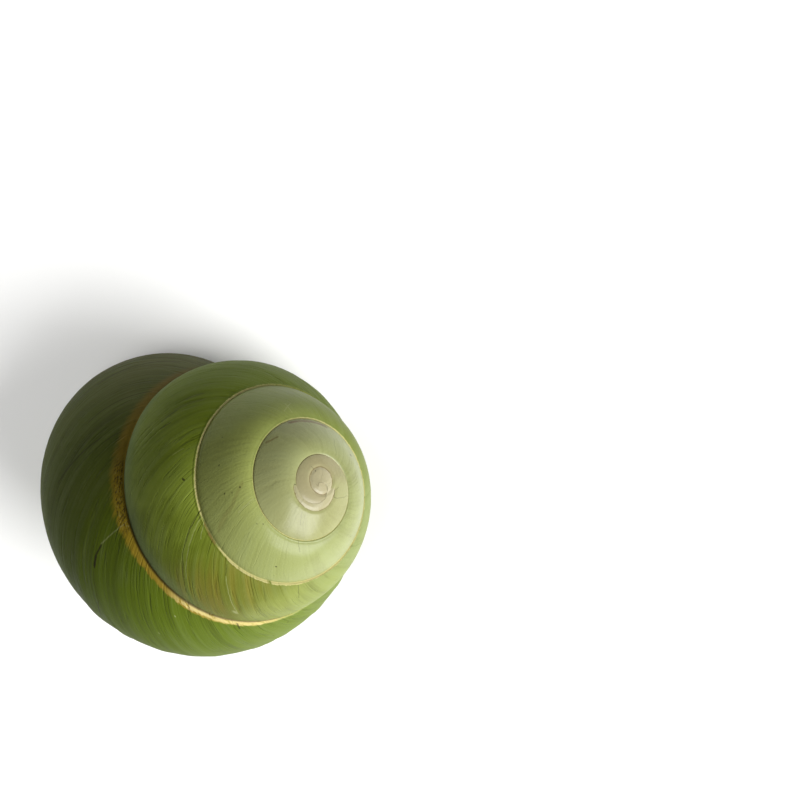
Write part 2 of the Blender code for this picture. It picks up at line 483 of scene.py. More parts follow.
@dataclass
class ShellForm:
    """The shell's surface, grown by Geometry Nodes."""

    law: GrowthLaw = field(default_factory=GrowthLaw)
    relief: Relief = field(default_factory=Relief)
    facets: Facets = field(default_factory=Facets)
    rest_spin: float = math.radians(143.3)
    rest_tip: float = math.radians(38.4)
    weld: float = 0.0005 * MM
    room_share: float = 0.9999
    apex_lead: float = 0.95
    corner_soft: float = 0.10
    gather: float = 0.72
    deepening: float = 1.5
    pit_free: tuple[float, float] = (2.7, 3.0)
    pit_roof: float = 1.6
    pillar_from: float = 1.75
    thread_from: tuple[float, float] = (1.2, 1.7)
    thread_full: tuple[float, float] = (2.3, 2.7)
    thread_to: tuple[float, float] = (3.3, 3.6)
    crumb_turns: tuple[float, float] = (3.5, 3.95)
    groove_from: tuple[float, float] = (0.9, 1.5)
    ripple_from: tuple[float, float] = (1.2, 3.2)
    rest_from: tuple[float, float] = (2.6, 3.7)
    samples: tuple[tuple[float, float, bool], ...] = (
        (0.15, 0.152, False),
        (0.7, 0.152, False),
        (1.2, 0.131, False),
        (1.7, 0.131, False),
        (2.4, 0.173, False),
        (1.6, 0.261, True),
    )
    sides: tuple[tuple[str, float, float, float], ...] = (
        ("wall columns", 0.0, 1.0, 0.0),
        ("base columns", 1.0, 1.0, 0.0),
        ("pit columns", 2.0, 1.0, 0.0),
        ("base columns", 2.0, -1.0, 1.0),
    )

    def suture_group(self) -> bpy.types.NodeTree:
        """Radius and height of the suture at a turn.

        Returns:
            The node group.
        """
        names = ("Radius", "Height")
        s = Sheet.group("GeometryNodeTree", "suture", {"Turn": 0.0} | self.law.inputs(), names)
        turn = s["Turn"]
        n = s.least(turn * s.math("GREATER_THAN", turn, s["apex turn"]), s["free from"])
        radius = n * s["spread first"] + n * n * s["spread second"] + n * n * n * s["spread third"]
        late = s.most(n - s["late from"], 0.0)
        drop = n ** s["spire power"] * s["spire drop"] + late * late * s["late drop"]
        end = s["free from"]
        slope_out = s["spread first"] + end * s["spread second"] * 2.0 + end * end * s["spread third"] * 3.0
        slope_down = s["spire drop"] * s["spire power"] * end ** (s["spire power"] - 1.0)
        slope_down = slope_down + (end - s["late from"]) * s["late drop"] * 2.0
        free = s.most(turn - end, 0.0)
        radius = radius + slope_out * free - free * free * s["free tuck"]
        height = -(drop + slope_down * free + free * free * s["free sink"])
        s.give(Radius=radius, Height=height)
        return s.tree

    def profile_group(self, suture: bpy.types.NodeTree) -> bpy.types.NodeTree:
        """Radius and height of the skin at a turn and t, and the straight height of the whorl there.

        Args:
            suture: The group that gives the suture.

        Returns:
            The node group.
        """
        inputs = {"Turn": 0.0, "T": 0.0} | self.law.inputs()
        s = Sheet.group("GeometryNodeTree", "profile", inputs, ("Radius", "Height", "Chord"))
        turn, t = s["Turn"], s["T"]
        top = s.call(suture, Turn=turn)
        foot = s.call(suture, Turn=turn + 1.0)
        chord = (foot["Radius"] - top["Radius"], foot["Height"] - top["Height"])
        length = s.most(s.math("SQRT", chord[0] * chord[0] + chord[1] * chord[1]), TINY)
        along = (chord[0] / length, chord[1] / length)
        free = s.most(turn + 1.0 - s["free from"], 0.0)
        free = free * free
        angle_top = s.least((turn + 1.0) / s["arch top full"], 1.0) * s["arch top"] * s.rising(turn, 0.4, 1.0)
        angle_top = angle_top + free * s["arch top free"]
        angle_foot = s["arch foot"] + (turn - s["arch foot turn"]) * s["arch foot growth"]
        angle_foot = angle_foot + free * s["arch foot free"]
        angle_foot = s.least(s.most(angle_foot, s["arch foot least"]), s["arch foot most"]) * s.rising(turn, -0.6, 0.0)
        bend = s.math("COSINE", (angle_top + angle_foot) / 4.0)
        handle = length / 3.0 / (bend * bend)
        leaving = self.turned(s, along, angle_top)
        arriving = self.turned(s, along, -angle_foot)
        starts = (top["Radius"], top["Height"])
        seam = (foot["Radius"], foot["Height"])
        low = (s.most(turn + 1.0, 0.0) * s["umbilicus per turn"], self.rim_height(s, seam, free))
        past = s.most(turn - s["free from"], 0.0)
        above = (s.most(turn, 0.0) * s["umbilicus per turn"], self.rim_height(s, starts, past * past))
        inner = (low[0] + seam[0] * s["base end out"], low[1] - seam[0] * s["base end"])
        shares = (s.held(t), s.held(t - 1.0), s.held(t - 2.0))
        result = []
        for i in (0, 1):
            wall = (starts[i], starts[i] + handle * leaving[i], seam[i] - handle * arriving[i], seam[i])
            base = (seam[i], seam[i] + seam[0] * arriving[i] * s["base start"], inner[i], low[i])
            point = self.bezier(wall, shares[0]) + self.bezier(base, shares[1]) - seam[i]
            result.append(point + (above[i] - low[i]) * shares[2])
        s.give(Radius=result[0], Height=result[1], Chord=length)
        return s.tree

    @staticmethod
    def turned(s: Sheet, way: tuple[Num, Num], angle: Num) -> tuple[Num, Num]:
        """A direction in the radius and height plane, turned outwards by an angle."""
        cosine, sine = s.math("COSINE", angle), s.math("SINE", angle)
        return way[0] * cosine - way[1] * sine, way[1] * cosine + way[0] * sine

    @staticmethod
    def rim_height(s: Sheet, seam: tuple[Num, Num], free: Num) -> Num:
        """Height of the umbilicus rim that belongs to a seam."""
        return seam[1] + seam[0] * s["base rise"] + free * s["base rise free"]

    @staticmethod
    def bezier(points: tuple[Num, Num, Num, Num], t: Num) -> Num:
        """One coordinate of a cubic curve.

        Args:
            points: That coordinate of the curve's four points.
            t: Place along the curve, from 0 to 1.

        Returns:
            The coordinate there.
        """
        u = 1.0 - t
        first = u * u * u * points[0] + u * u * t * 3.0 * points[1]
        return first + u * t * t * 3.0 * points[2] + t * t * t * points[3]

    def reach_group(self) -> bpy.types.NodeTree:
        """Millimetres along the coil that a growth line stands at, and millimetres below the suture.

        Growth lines lean back from the suture, little on the first whorls and far on the last one, and turn
        back to the slope of the lip near the mouth.

        Returns:
            The node group.
        """
        inputs = {"Turn": 0.0, "T": 0.0, "Chord": 0.0} | self.law.inputs()
        s = Sheet.group("GeometryNodeTree", "reach", inputs, ("Along", "Down", "Up"))
        turn, t = s["Turn"], s["T"]
        n = s.least(s.most(turn, 1.0), s["free from"])
        low, high = n - s["line lean low"], n - s["line lean high"]
        lean = low * s["line lean growth"] + low * high * s["line lean bend"] + s["line lean"]
        lean = s.between(lean, s["lean seam"], s.rising(turn, s["lip slope from"], s["lip slope full"]))
        growth = turn + lean * s.held(t) + s.held(t - 1.0) * (s["lean rim"] - s["lean seam"])
        growth = s.most(growth, 0.0)
        square = growth * growth
        area = square * s["spread first"] / 2.0 + square * growth * s["spread second"] / 3.0
        area = area + square * square * s["spread third"] / 4.0
        arc = s["Chord"] * s["arc over chord"] * (1.0 / MM)
        s.give(Along=area * (2.0 * math.pi / MM), Down=t * arc, Up=(1.0 - t) * arc)
        return s.tree

    def relief_group(self) -> bpy.types.NodeTree:
        """Height of the skin over its plain form, in metres.

        Returns:
            The node group.
        """
        inputs = {name: 0.0 for name in ("Turn", "T", "Along", "Down", "Up", "Plan X", "Plan Y")} | self.relief.inputs()
        s = Sheet.group("GeometryNodeTree", "relief", inputs, ("Height",))
        turn, t, along, down, up = (s[name] for name in ("Turn", "T", "Along", "Down", "Up"))
        wander = s.noise(along / 1.6, 0.0, Seed.THREAD)
        offset = (down / s["thread width"] - 0.9 - wander * 0.3) * 1.3
        thread = s.most(1.0 - offset * offset, 0.0) * (wander * 0.9 + 0.5) * s["thread height"]
        thread = thread * s.rising(turn, *self.thread_from) * s.falling(turn, *self.thread_to)
        thread = thread * s.between(0.4, 1.0, s.rising(turn, *self.thread_full))
        crumbs = s.noise(along / 0.9, down / 0.6, Seed.BAND, 2.0) * 1.6 - 0.3
        crumbs = s.held(crumbs) * s.falling(down, s["band width"] * 0.6, s["band width"]) * s["band height"]
        thread = thread + crumbs * s.within(turn, *self.crumb_turns, 0.1)
        groove = s.math("EXPONENT", -(s.least(s.math("ABSOLUTE", down), s.math("ABSOLUTE", up)) / s["groove width"]))
        groove = groove * s["groove depth"] * s.rising(turn, *self.groove_from)
        ripple = s.noise(along / s["ripple length"], down / 40.0, Seed.RIPPLE, 3.0, 0.6) - 0.5
        ripple = ripple * s["ripple height"] * s.rising(turn, *self.ripple_from)
        rest = s.noise(along / s["rest length"], down / 60.0, Seed.REST, 1.0)
        rest = s.rising(rest, 0.50, 0.56) * s.falling(rest, 0.56, 0.66)
        rest = rest * s["rest height"] * s.rising(turn, *self.rest_from)
        ends = s.rising(down, 0.0, 1.5) * s.falling(t, 1.9, 2.0)
        height = thread + (ripple + rest) * ends - groove * s.falling(t, 1.0, 1.2)
        for (x, y, radius), turns in APEX_RINGS:
            dx, dy = s["Plan X"] - x, s["Plan Y"] - y
            away = s.math("SQRT", dx * dx + dy * dy)
            cut = s.falling(s.math("ABSOLUTE", away - radius), 0.0, 0.45) * s["apex groove"]
            swell = s.falling(away, radius * 0.3, radius) * s["apex swell"]
            height = height + (swell - cut) * s.within(turn, *turns, 0.05) * s.falling(t, 0.9, 1.0)
        s.give(Height=height * MM)
        return s.tree

    def mouth_group(self, profile: bpy.types.NodeTree) -> bpy.types.NodeTree:
        """A point of the lip's rounding or of the hollow behind it.

        Round runs from 0 on the skin to 1 on the hollow's surface, over the lip. Deep runs from 0 there to 1
        at the hollow's end. Free is 1 where the lip is a free edge and 0 where it lies on the turn before.

        Args:
            profile: The group that gives the skin.

        Returns:
            The node group.
        """
        own = {"T": 0.0, "Earlier": 0.0, "Free": 1.0, "Back": 0.0, "Round": 0.0, "Deep": 0.0, "Close": 0.0}
        s = Sheet.group("GeometryNodeTree", "mouth", own | self.law.inputs(), ("Turn", "Radius", "Height"))
        t, earlier, free = s["T"], s["Earlier"], s["Free"]
        angle = s["Round"] * math.pi
        half = angle / 2.0
        depth = s.between(s.math("SINE", half), (1.0 - s.math("COSINE", angle)) / 2.0, free)
        back = s.between(1.0 - s.math("COSINE", half), 1.0 - s.math("SINE", angle), free)
        growth = s["turns"] - s["Back"] * back - s["hollow turns"] * s["Deep"] ** self.deepening
        turn = s.between(self.lip_turn(s, growth, t), self.covered_turn(s, growth, t), earlier)
        point = s.call(profile, Turn=turn, T=t)
        centre: list[Value] = [0.0, 0.0]
        for at, weight, on_earlier in self.samples:
            spot = s.number(at)
            line = self.covered_turn(s, growth, spot) if on_earlier else self.lip_turn(s, growth, spot)
            sample = s.call(profile, Turn=line, T=spot)
            centre = [total + sample[name] * weight for total, name in zip(centre, ("Radius", "Height"))]
        way = (centre[0] - point["Radius"], centre[1] - point["Height"])
        length = s.most(s.math("SQRT", way[0] * way[0] + way[1] * way[1]), TINY)
        inwards = self.wall_depth(s, growth, t, earlier) * depth
        inwards = s.between(inwards, length, s["Close"])
        radius = point["Radius"] + way[0] / length * inwards
        height = point["Height"] + way[1] / length * inwards
        s.give(Turn=s.between(turn, growth, s["Close"]), Radius=radius, Height=height)
        return s.tree

    @staticmethod
    def lip_turn(s: Sheet, growth: Num, t: Num) -> Num:
        """Turn at which a growth line crosses t."""
        more = s.held(t - 1.0) * (s["lean rim"] - s["lean seam"])
        return growth - s["lean seam"] * s.held(t) - more

    @staticmethod
    def covered_turn(s: Sheet, growth: Num, t: Num) -> Num:
        """Turn at which the whorl's inner edge crosses t of the turn before."""
        return growth - 1.0 - s["lean rim"] * (t - 1.0)

    def wall_depth(self, s: Sheet, growth: Num, t: Num, earlier: Num) -> Num:
        """How far the hollow's surface lies inside the skin.

        Args:
            s: The tree being written.
            growth: Turn at which the lip stood here.
            t: Place across the whorl.
            earlier: Is 1 where the whorl lies on the turn before.

        Returns:
            The depth.
        """
        scale = s.least(s["early wall"] + growth / s["wall full turn"] * (1.0 - s["early wall"]), 1.0)
        depth = s.between(s["lip wall"], s["callus"], earlier)
        depth = s.between(depth, s["pillar wall"], s.rising(t, self.pillar_from, 2.0))
        corner = s["lip wall"] * s["corner fill"]
        near = s.most(1.0 - (t - earlier) / s["corner reach"], 0.0)
        return s.between(depth, corner, near) * scale

    @staticmethod
    def grid(s: Sheet, rows: Num, columns: Num) -> tuple[bpy.types.NodeSocket, Num, Num]:
        """A flat grid of points, with the row and column of each point.

        Args:
            s: The tree being written.
            rows: How many steps there are from the first row to the last.
            columns: How many steps there are from the first column to the last.

        Returns:
            The grid, and the row and column as shares from 0 to their count.
        """
        made = s.node("GeometryNodeMeshGrid")
        s.put(rows + 1.0, made.inputs["Vertices X"])
        s.put(columns + 1.0, made.inputs["Vertices Y"])
        of_point = s.node("GeometryNodeFieldOnDomain", domain="POINT", data_type="INT")
        s.put(s.node("GeometryNodeInputIndex").outputs[0], of_point.inputs[0])
        index = Num(s, of_point.outputs[0])
        row = s.math("FLOOR", (index + 0.5) / (columns + 1.0))
        return made.outputs["Mesh"], row, index - row * (columns + 1.0)

    @staticmethod
    def lay(s: Sheet, mesh: bpy.types.NodeSocket, turn: Num, t: Num, radius: Num, height: Num,
            groups: dict[str, bpy.types.NodeTree], chord: Value = 0.0,
            place: Place = Place.OUTSIDE) -> bpy.types.NodeSocket:
        """Puts a grid's points in place and writes what the finishes read on its corners.

        Args:
            s: The tree being written.
            mesh: The grid.
            turn: Turn of each point.
            t: Place of each point across the whorl.
            radius: Distance of each point from the coiling axis.
            height: Height of each point.
            groups: The node groups of the law.
            chord: Straight height of the whorl.
            place: Which part of the surface this is.

        Returns:
            The mesh.
        """
        reach = s.call(groups["reach"], Turn=turn, T=t, Chord=chord)
        angle = turn * (-2.0 * math.pi)
        x, y = radius * s.math("COSINE", angle), radius * s.math("SINE", angle)
        plan = (x / MM, y / MM)
        if place is Place.OUTSIDE:
            lengths = {key: reach[key] for key in ("Along", "Down", "Up")}
            relief = s.call(groups["relief"], Turn=turn, T=t, Plan_X=plan[0], Plan_Y=plan[1], **lengths)
            proud: Value = relief["Height"]
        else:
            proud = 0.0
        maps = (("growth", (turn, t + place.value)), ("reach", (reach["Along"], reach["Down"])), ("plan", plan))
        for name, pair in maps:
            store = s.node("GeometryNodeStoreNamedAttribute", data_type="FLOAT2", domain="CORNER")
            s.put(mesh, store.inputs["Geometry"])
            s.put(name, store.inputs["Name"])
            s.put(s.vector(pair[0], pair[1], 0.0), store.inputs["Value"])
            mesh = store.outputs["Geometry"]
        store = s.node("GeometryNodeStoreNamedAttribute", data_type="FLOAT", domain="POINT")
        s.put(mesh, store.inputs["Geometry"])
        s.put("proud", store.inputs["Name"])
        s.put(proud, store.inputs["Value"])
        move = s.node("GeometryNodeSetPosition")
        s.put(store.outputs["Geometry"], move.inputs["Geometry"])
        s.put(s.vector(x, y, height), move.inputs["Position"])
        return move.outputs["Geometry"]

    def spread(self, s: Sheet, share: Num) -> Num:
        """Shares from 0 to 1 moved so that they lie closer together near both ends."""
        return share - s.math("SINE", share * (2.0 * math.pi)) * (self.gather / (2.0 * math.pi))

    @staticmethod
    def back(s: Sheet, t: Num, once: Num) -> Num:
        """Turns between the last two rows of the skin at t."""
        return (1.0 - s["lean seam"] + s.held(t - 1.0) * s["lean seam"]) / once

    def wall(self, s: Sheet, groups: dict[str, bpy.types.NodeTree], once: Num) -> bpy.types.NodeSocket:
        """The outer wall of all whorls, from before the apex to the lip.

        Args:
            s: The tree being written.
            groups: The node groups of the law.
            once: Rows in the last turn.

        Returns:
            The mesh.
        """
        steps = s["steps per turn"]
        mesh, row, column = self.grid(s, steps * (s["turns"] + self.apex_lead), s["wall columns"])
        t = self.spread(s, column / s["wall columns"])
        free = s.rising(t, 0.0, self.corner_soft)
        growth = s.least(row / steps - self.apex_lead, s["turns"] - self.back(s, t, once) * free)
        turn = self.lip_turn(s, growth, t)
        point = s.call(groups["profile"], Turn=turn, T=t)
        return self.lay(s, mesh, turn, t, point["Radius"], point["Height"], groups, point["Chord"])

    def base(self, s: Sheet, groups: dict[str, bpy.types.NodeTree], once: Num) -> bpy.types.NodeSocket:
        """The base of the last turn, from the seam to the rim of the umbilicus.

        Args:
            s: The tree being written.
            groups: The node groups of the law.
            once: Rows in the last turn.

        Returns:
            The mesh.
        """
        mesh, row, column = self.grid(s, once - 1.0, s["base columns"])
        t = column / s["base columns"] + 1.0
        turn = s.between(self.covered_turn(s, s["turns"], t), self.lip_turn(s, s["turns"], t), row / once)
        point = s.call(groups["profile"], Turn=turn, T=t)
        return self.lay(s, mesh, turn, t, point["Radius"], point["Height"], groups, point["Chord"])

    def pit(self, s: Sheet, groups: dict[str, bpy.types.NodeTree], once: Num) -> list[bpy.types.NodeSocket]:
        """The umbilicus: its winding wall with a roof, and the step where a turn of it ends.

        Args:
            s: The tree being written.
            groups: The node groups of the law.
            once: Rows in the last turn.

        Returns:
            The two meshes.
        """
        mesh, row, column = self.grid(s, once, s["pit columns"] + 1.0)
        t = s.least(column / s["pit columns"], 1.0) + 2.0
        close = s.rising(column, s["pit columns"], s["pit columns"] + 1.0)
        last = s["turns"] - s["lean rim"]
        turn = s.least(last - 1.0 + row / once, last - self.back(s, t, once) * s.falling(t, *self.pit_free))
        point = s.call(groups["profile"], Turn=turn, T=t)
        roof = s.call(groups["suture"], Turn=s["turns"] - self.pit_roof)
        radius = point["Radius"] * (1.0 - close)
        height = s.between(point["Height"], roof["Height"], close)
        winding = self.lay(s, mesh, turn, t, radius, height, groups, point["Chord"])

        mesh, row, column = self.grid(s, s.number(1.0), s["pit columns"])
        t = column / s["pit columns"] + 2.0
        turn = last - 1.0
        point = s.call(groups["profile"], Turn=turn, T=t)
        radius = point["Radius"] * row
        height = s.between(roof["Height"], point["Height"], row)
        return [winding, self.lay(s, mesh, turn, t, radius, height, groups, point["Chord"])]

    def lining(self, s: Sheet, groups: dict[str, bpy.types.NodeTree], once: Num, columns: str, start: float,
               way: float, earlier: float) -> bpy.types.NodeSocket:
        """One side of the lip's rounding and of the hollow behind it.

        Args:
            s: The tree being written.
            groups: The node groups of the law.
            once: Rows in the last turn.
            columns: Name of the input that holds its count of columns.
            start: The t that it starts at.
            way: Is 1 where t grows along it and -1 where it falls.
            earlier: Is 1 where the whorl lies on the turn before.

        Returns:
            The mesh.
        """
        total = s["lip rows"] + s["hollow rows"]
        mesh, row, column = self.grid(s, total + 1.0, s[columns])
        share = column / s[columns]
        if start == 0.0:
            share = self.spread(s, share)
        t = share * way + start
        if earlier:
            free: Value = 0.0
        elif start == 0.0:
            free = s.rising(t, 0.0, self.corner_soft)
        elif start == 1.0:
            free = 1.0
        else:
            free = s.falling(t, *self.pit_free)
        ring = s.call(
            groups["mouth"], T=t, Earlier=earlier, Free=free, Back=self.back(s, t, once),
            Round=s.least(row / s["lip rows"], 1.0),
            Deep=s.held((row - s["lip rows"]) / s["hollow rows"]),
            Close=s.math("GREATER_THAN", row, total + 0.5),
        )
        return self.lay(s, mesh, ring["Turn"], t, ring["Radius"], ring["Height"], groups, place=Place.INSIDE)

    def tree(self, skin: bpy.types.Material, inside: bpy.types.Material) -> bpy.types.NodeTree:
        """The whole shell as one tree.

        Args:
            skin: Material of the outside.
            inside: Material of the lip and the hollow.

        Returns:
            The tree, whose inputs are the law's sizes, the relief, the facets and the rest pose.
        """
        groups = {"suture": self.suture_group(), "reach": self.reach_group(), "relief": self.relief_group()}
        groups["profile"] = self.profile_group(groups["suture"])
        groups["mouth"] = self.mouth_group(groups["profile"])
        tree = bpy.data.node_groups.new("snail shell", "GeometryNodeTree")
        room = {"room x": 1.0, "room y": 1.0, "room z": 1.0, "rest spin": self.rest_spin, "rest tip": self.rest_tip}
        for key, value in (self.law.inputs() | self.relief.inputs() | self.facets.inputs() | room).items():
            socket = tree.interface.new_socket(name=key, in_out="INPUT", socket_type="NodeSocketFloat")
            socket.default_value = value
        tree.interface.new_socket(name="Geometry", in_out="OUTPUT", socket_type="NodeSocketGeometry")
        s = Sheet(tree)
        s.read_inputs()
        once = s["steps per turn"] * (1.0 - s["lean seam"])
        outer = [self.wall(s, groups, once), self.base(s, groups, once), *self.pit(s, groups, once)]
        inner = [self.lining(s, groups, once, *side) for side in self.sides]
        shell = s.node("GeometryNodeJoinGeometry")
        for meshes in (outer, inner):
            joined = s.node("GeometryNodeJoinGeometry")
            for mesh in reversed(meshes):
                s.put(mesh, joined.inputs[0])
            s.put(joined.outputs[0], shell.inputs[0])
        weld = s.node("GeometryNodeMergeByDistance")
        s.put(shell.outputs[0], weld.inputs["Geometry"])
        weld.inputs["Distance"].default_value = self.weld
        s.put(self.dress(s, self.settle(s, weld.outputs[0]), skin, inside), self.exit_socket(s))
        return tree

    @staticmethod
    def exit_socket(s: Sheet) -> bpy.types.NodeSocket:
        """The socket that the tree's geometry leaves by."""
        return s.tree.nodes.new("NodeGroupOutput").inputs["Geometry"]

    def settle(self, s: Sheet, mesh: bpy.types.NodeSocket) -> bpy.types.NodeSocket:
        """Raises the relief, turns the shell onto its mouth and fits it in its solid's box.

        Args:
            s: The tree being written.
            mesh: The welded shell, its axis on Z.

        Returns:
            The shell in its place.
        """
        proud = s.node("GeometryNodeInputNamedAttribute", data_type="FLOAT")
        proud.inputs["Name"].default_value = "proud"
        scale = s.node("ShaderNodeVectorMath", operation="SCALE")
        s.put(s.node("GeometryNodeInputNormal").outputs[0], scale.inputs[0])
        s.put(proud.outputs[0], scale.inputs["Scale"])
        raised = s.node("GeometryNodeSetPosition")
        s.put(mesh, raised.inputs["Geometry"])
        s.put(scale.outputs[0], raised.inputs["Offset"])
        mesh = raised.outputs[0]
        for x, y, z in ((0.0, 0.0, s["rest spin"]), (0.0, s["rest tip"], 0.0)):
            turn = s.node("GeometryNodeTransform")
            s.put(mesh, turn.inputs["Geometry"])
            s.put(s.vector(x, y, z), turn.inputs["Rotation"])
            mesh = turn.outputs[0]
        box = s.node("GeometryNodeBoundBox")
        s.put(mesh, box.inputs[0])
        ends = []
        for name in ("Min", "Max"):
            split = s.node("ShaderNodeSeparateXYZ")
            s.put(box.outputs[name], split.inputs[0])
            ends.append([Num(s, socket) for socket in split.outputs])
        low, high = ends
        shift = s.vector((low[0] + high[0]) * -0.5, (low[1] + high[1]) * -0.5, -low[2])
        fit = [s.least(s["room " + axis] / (b - a), 1.0) for axis, a, b in zip("xyz", low, high)]
        moved = s.node("GeometryNodeTransform")
        s.put(mesh, moved.inputs["Geometry"])
        s.put(shift, moved.inputs["Translation"])
        sized = s.node("GeometryNodeTransform")
        s.put(moved.outputs[0], sized.inputs["Geometry"])
        s.put(s.vector(*fit), sized.inputs["Scale"])
        smooth = s.node("GeometryNodeSetShadeSmooth")
        s.put(sized.outputs[0], smooth.inputs["Geometry"])
        return smooth.outputs[0]

    @staticmethod
    def dress(s: Sheet, mesh: bpy.types.NodeSocket, skin: bpy.types.Material,
              inside: bpy.types.Material) -> bpy.types.NodeSocket:
        """Makes the geometry real and gives each face its material.

        Args:
            s: The tree being written.
            mesh: The shell in its place.
            skin: Material of the outside.
            inside: Material of the lip and the hollow.

        Returns:
            The finished geometry.
        """
        real = s.node("GeometryNodeRealizeInstances")
        s.put(mesh, real.inputs["Geometry"])
        mesh = real.outputs[0]
        growth = s.node("GeometryNodeInputNamedAttribute", data_type="FLOAT_VECTOR")
        growth.inputs["Name"].default_value = "growth"
        split = s.node("ShaderNodeSeparateXYZ")
        s.put(growth.outputs[0], split.inputs[0])
        half = (Place.OUTSIDE.value + Place.INSIDE.value) / 2.0
        for material, way in ((skin, "LESS_THAN"), (inside, "GREATER_THAN")):
            paint = s.node("GeometryNodeSetMaterial")
            s.put(mesh, paint.inputs["Geometry"])
            s.put(s.math(way, Num(s, split.outputs[1]), half), paint.inputs["Selection"])
            paint.inputs["Material"].default_value = material
            mesh = paint.outputs[0]
        return mesh

    def build(self, skin: bpy.types.Material, inside: bpy.types.Material) -> bpy.types.Object:
        """Grows the shell and makes a plain mesh of it.

        Args:
            skin: Material of the outside.
            inside: Material of the lip and the hollow.

        Returns:
            The finished object, which sits at the origin.
        """
        tree = self.tree(skin, inside)
        seed = bpy.data.objects.new("shell_seed", bpy.data.meshes.new("shell_seed"))
        bpy.context.scene.collection.objects.link(seed)
        growth = seed.modifiers.new("growth", "NODES")
        growth.node_group = tree
        low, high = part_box("shell")
        names = {item.name: item.identifier for item in tree.interface.items_tree if item.in_out == "INPUT"}
        for axis, a, b in zip("xyz", low, high):
            growth[names["room " + axis]] = float(b - a) * self.room_share
        graph = bpy.context.evaluated_depsgraph_get()
        mesh = bpy.data.meshes.new_from_object(seed.evaluated_get(graph))
        bpy.data.objects.remove(seed, do_unlink=True)
        mesh.name = "snail_shell"
        shell = bpy.data.objects.new("snail_shell", mesh)
        bpy.context.scene.collection.objects.link(shell)
        return shell


class MaterialSheet(Sheet):
    """A material being written."""

    def __init__(self, name: str) -> None:
        """Starts a material whose tree holds its shader alone.

        Args:
            name: Name of the material.
        """
        self.material = bpy.data.materials.new(name)
        self.material.use_nodes = True
        super().__init__(self.material.node_tree)
        self.surface = self.tree.nodes["Principled BSDF"]

    def pair(self, name: str) -> tuple[Num, Num]:
        """The two numbers of a map on the piece's corners.

        Args:
            name: Name of the map.

        Returns:
            The numbers.
        """
        split = self.node("ShaderNodeSeparateXYZ")
        self.put(self.node("ShaderNodeUVMap", uv_map=name).outputs[0], split.inputs[0])
        return Num(self, split.outputs[0]), Num(self, split.outputs[1])

    def ramp(self, value: Num, stops: Sequence[tuple[float, Colour]], low: float, high: float) -> bpy.types.NodeSocket:
        """A colour that changes with a number.

        Args:
            value: The number.
            stops: Number and colour of each stop.
            low: The number at the ramp's start.
            high: The number at its end.

        Returns:
            The colour.
        """
        made = self.node("ShaderNodeValToRGB")
        elements = made.color_ramp.elements
        elements.remove(elements[1])
        elements[0].position = (stops[0][0] - low) / (high - low)
        elements[0].color = (*stops[0][1], 1.0)
        for at, colour in stops[1:]:
            elements.new((at - low) / (high - low)).color = (*colour, 1.0)
        self.put((value - low) / (high - low), made.inputs[0])
        return made.outputs[0]

    def blend(self, under: object, over: object, share: Value, way: str = "MIX") -> bpy.types.NodeSocket:
        """Lays one colour over another.

        Args:
            under: The colour below.
            over: The colour above.
            share: How much of it shows.
            way: Blender's name for the way of mixing.

        Returns:
            The mixed colour.
        """
        made = self.node("ShaderNodeMix", data_type="RGBA", blend_type=way)
        self.put(share, made.inputs["Factor"])
        for value, name in ((under, "A"), (over, "B")):
            socket = next(item for item in made.inputs if item.name == name and item.type == "RGBA")
            self.put((*value, 1.0) if isinstance(value, tuple) else value, socket)
        return next(item for item in made.outputs if item.type == "RGBA")

    def bump(self, height: Num, strength: float, distance: float) -> bpy.types.NodeSocket:
        """Shades small relief.

        Args:
            height: Height in units of distance.
            strength: How much of it shows.
            distance: Metres to a unit of height.

        Returns:
            The normal.
        """
        made = self.node("ShaderNodeBump")
        made.inputs["Strength"].default_value = strength
        made.inputs["Distance"].default_value = distance
        self.put(height, made.inputs["Height"])
        return made.outputs[0]


